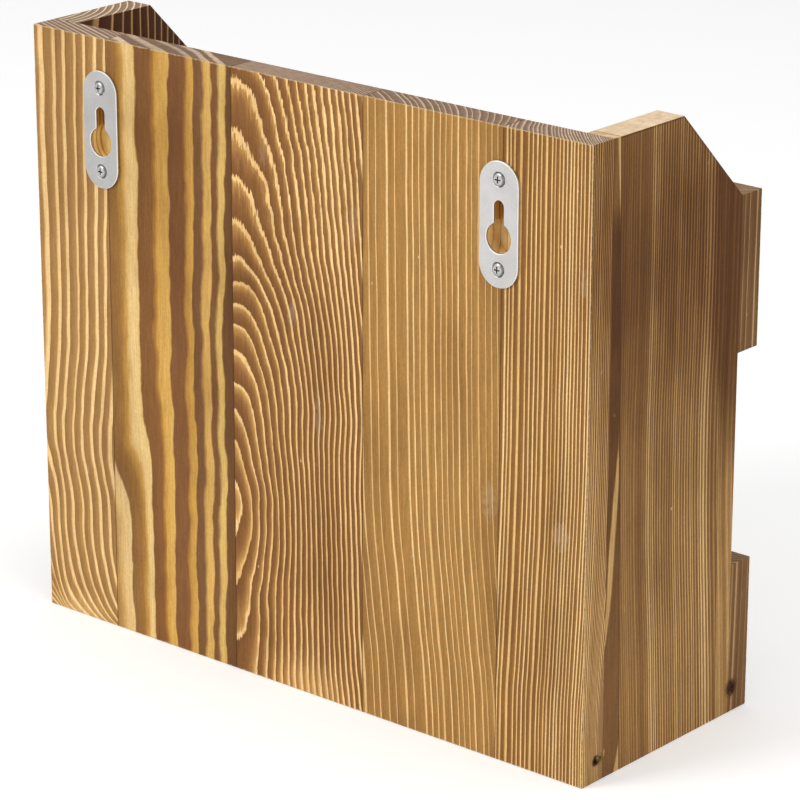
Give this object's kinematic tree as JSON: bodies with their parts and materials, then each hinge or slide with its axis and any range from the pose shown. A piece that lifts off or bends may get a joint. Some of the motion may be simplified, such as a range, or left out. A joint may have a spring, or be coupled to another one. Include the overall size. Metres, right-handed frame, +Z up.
{
  "type": "wall file holder",
  "caption": "Open-topped box of edge-glued flamed pine for files, with sloped sides, a slatted front with a window, and keyhole plates on its back for hanging on a wall.",
  "frame": {"origin": "middle of the whole part's width and depth, at the underside", "axes": "+X along the width, +Y towards the wall and +Z up; the front slats face -Y"},
  "size_m": [0.34, 0.1284, 0.3],
  "materials": {
    "flamed_pine": "flamed and brushed pine, satin",
    "dowel_beech": "plain beech, dry",
    "plate_steel": "satin zinc-plated sheet steel",
    "screw_steel": "bright nickel-plated steel"
  },
  "bodies": {
    "root": {"back_bottom_dowel_1": "dowel_beech", "back_bottom_dowel_2": "dowel_beech", "back_bottom_dowel_3": "dowel_beech", "back_stave_1": "flamed_pine", "back_stave_2": "flamed_pine", "back_stave_3": "flamed_pine", "back_stave_4": "flamed_pine", "back_stave_5": "flamed_pine", "bottom_board": "flamed_pine", "front_bottom_dowel_1": "dowel_beech", "front_bottom_dowel_2": "dowel_beech", "front_bottom_dowel_3": "dowel_beech", "left_back_dowel_1": "dowel_beech", "left_back_dowel_2": "dowel_beech", "left_back_dowel_3": "dowel_beech", "left_bottom_dowel_1": "dowel_beech", "left_bottom_dowel_2": "dowel_beech", "left_keyhole_plate": "plate_steel", "left_lower_slat_dowel_1": "dowel_beech", "left_lower_slat_dowel_2": "dowel_beech", "left_plate_lower_screw": "screw_steel", "left_plate_upper_screw": "screw_steel", "left_side_stave_1": "flamed_pine", "left_side_stave_2": "flamed_pine", "left_side_stave_3": "flamed_pine", "left_upper_slat_dowel_1": "dowel_beech", "left_upper_slat_dowel_2": "dowel_beech", "lower_slat_stave_1": "flamed_pine", "lower_slat_stave_2": "flamed_pine", "lower_slat_stave_3": "flamed_pine", "lower_slat_stave_4": "flamed_pine", "lower_slat_stave_5": "flamed_pine", "right_back_dowel_1": "dowel_beech", "right_back_dowel_2": "dowel_beech", "right_back_dowel_3": "dowel_beech", "right_bottom_dowel_1": "dowel_beech", "right_bottom_dowel_2": "dowel_beech", "right_keyhole_plate": "plate_steel", "right_lower_slat_dowel_1": "dowel_beech", "right_lower_slat_dowel_2": "dowel_beech", "right_plate_lower_screw": "screw_steel", "right_plate_upper_screw": "screw_steel", "right_side_stave_1": "flamed_pine", "right_side_stave_2": "flamed_pine", "right_upper_slat_dowel_1": "dowel_beech", "right_upper_slat_dowel_2": "dowel_beech", "upper_slat_stave_1": "flamed_pine", "upper_slat_stave_2": "flamed_pine", "upper_slat_stave_3": "flamed_pine", "upper_slat_stave_4": "flamed_pine", "upper_slat_stave_5": "flamed_pine"}
  },
  "joints": []
}
